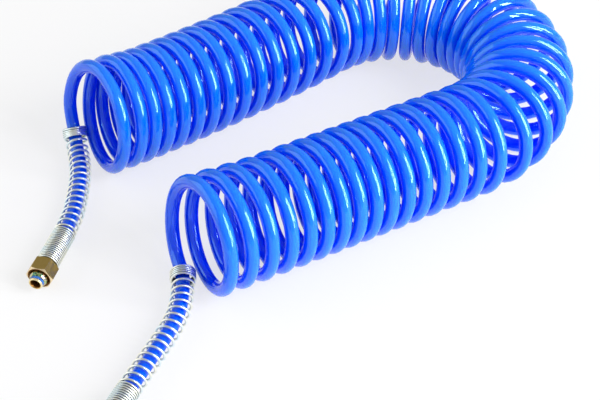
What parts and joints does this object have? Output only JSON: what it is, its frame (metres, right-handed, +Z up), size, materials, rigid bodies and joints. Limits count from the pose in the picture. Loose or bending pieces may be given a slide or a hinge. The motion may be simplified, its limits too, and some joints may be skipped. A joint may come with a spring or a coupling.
{
  "type": "coiled air hose",
  "caption": "Coiled plastic air hose bent into a U, with a straight tail, a wire anti-kink guard and a compression nut at each end.",
  "frame": {"origin": "centre of the bounding box, on the floor that the coil and the guards lie on", "axes": "+X along the two legs of the U towards the bend, +Y from the near leg to the far leg, +Z up"},
  "size_m": [0.3846, 0.2647, 0.0703],
  "materials": {
    "hose": "glossy, slightly translucent",
    "guard_wire": "bright zinc-plated wire",
    "nut": "machined, semi-gloss",
    "olive": "polished, iridescent",
    "insert": "machined, bright"
  },
  "bodies": {
    "hose": {"near_coil": "hose", "bend_1": "hose", "bend_2": "hose", "bend_3": "hose", "far_coil": "hose", "near_tail": "hose", "far_tail": "hose", "near_guard": "guard_wire", "far_guard": "guard_wire", "near_tube_end": "hose", "far_tube_end": "hose", "near_olive": "olive", "far_olive": "olive", "near_insert": "insert", "far_insert": "insert"},
    "near_nut": {"near_nut": "nut"},
    "far_nut": {"far_nut": "nut"}
  },
  "joints": [
    {"name": "near_nut_turn", "type": "hinge", "parent": "hose", "child": "near_nut", "pos_m": [-0.17792, -0.11994, 0.0084], "axis": [-0.788, -0.6157, 0], "continuous": true},
    {"name": "far_nut_turn", "type": "hinge", "parent": "hose", "child": "far_nut", "pos_m": [-0.16111, 0.00079, 0.0084], "axis": [-0.6947, -0.7193, 0], "continuous": true}
  ]
}
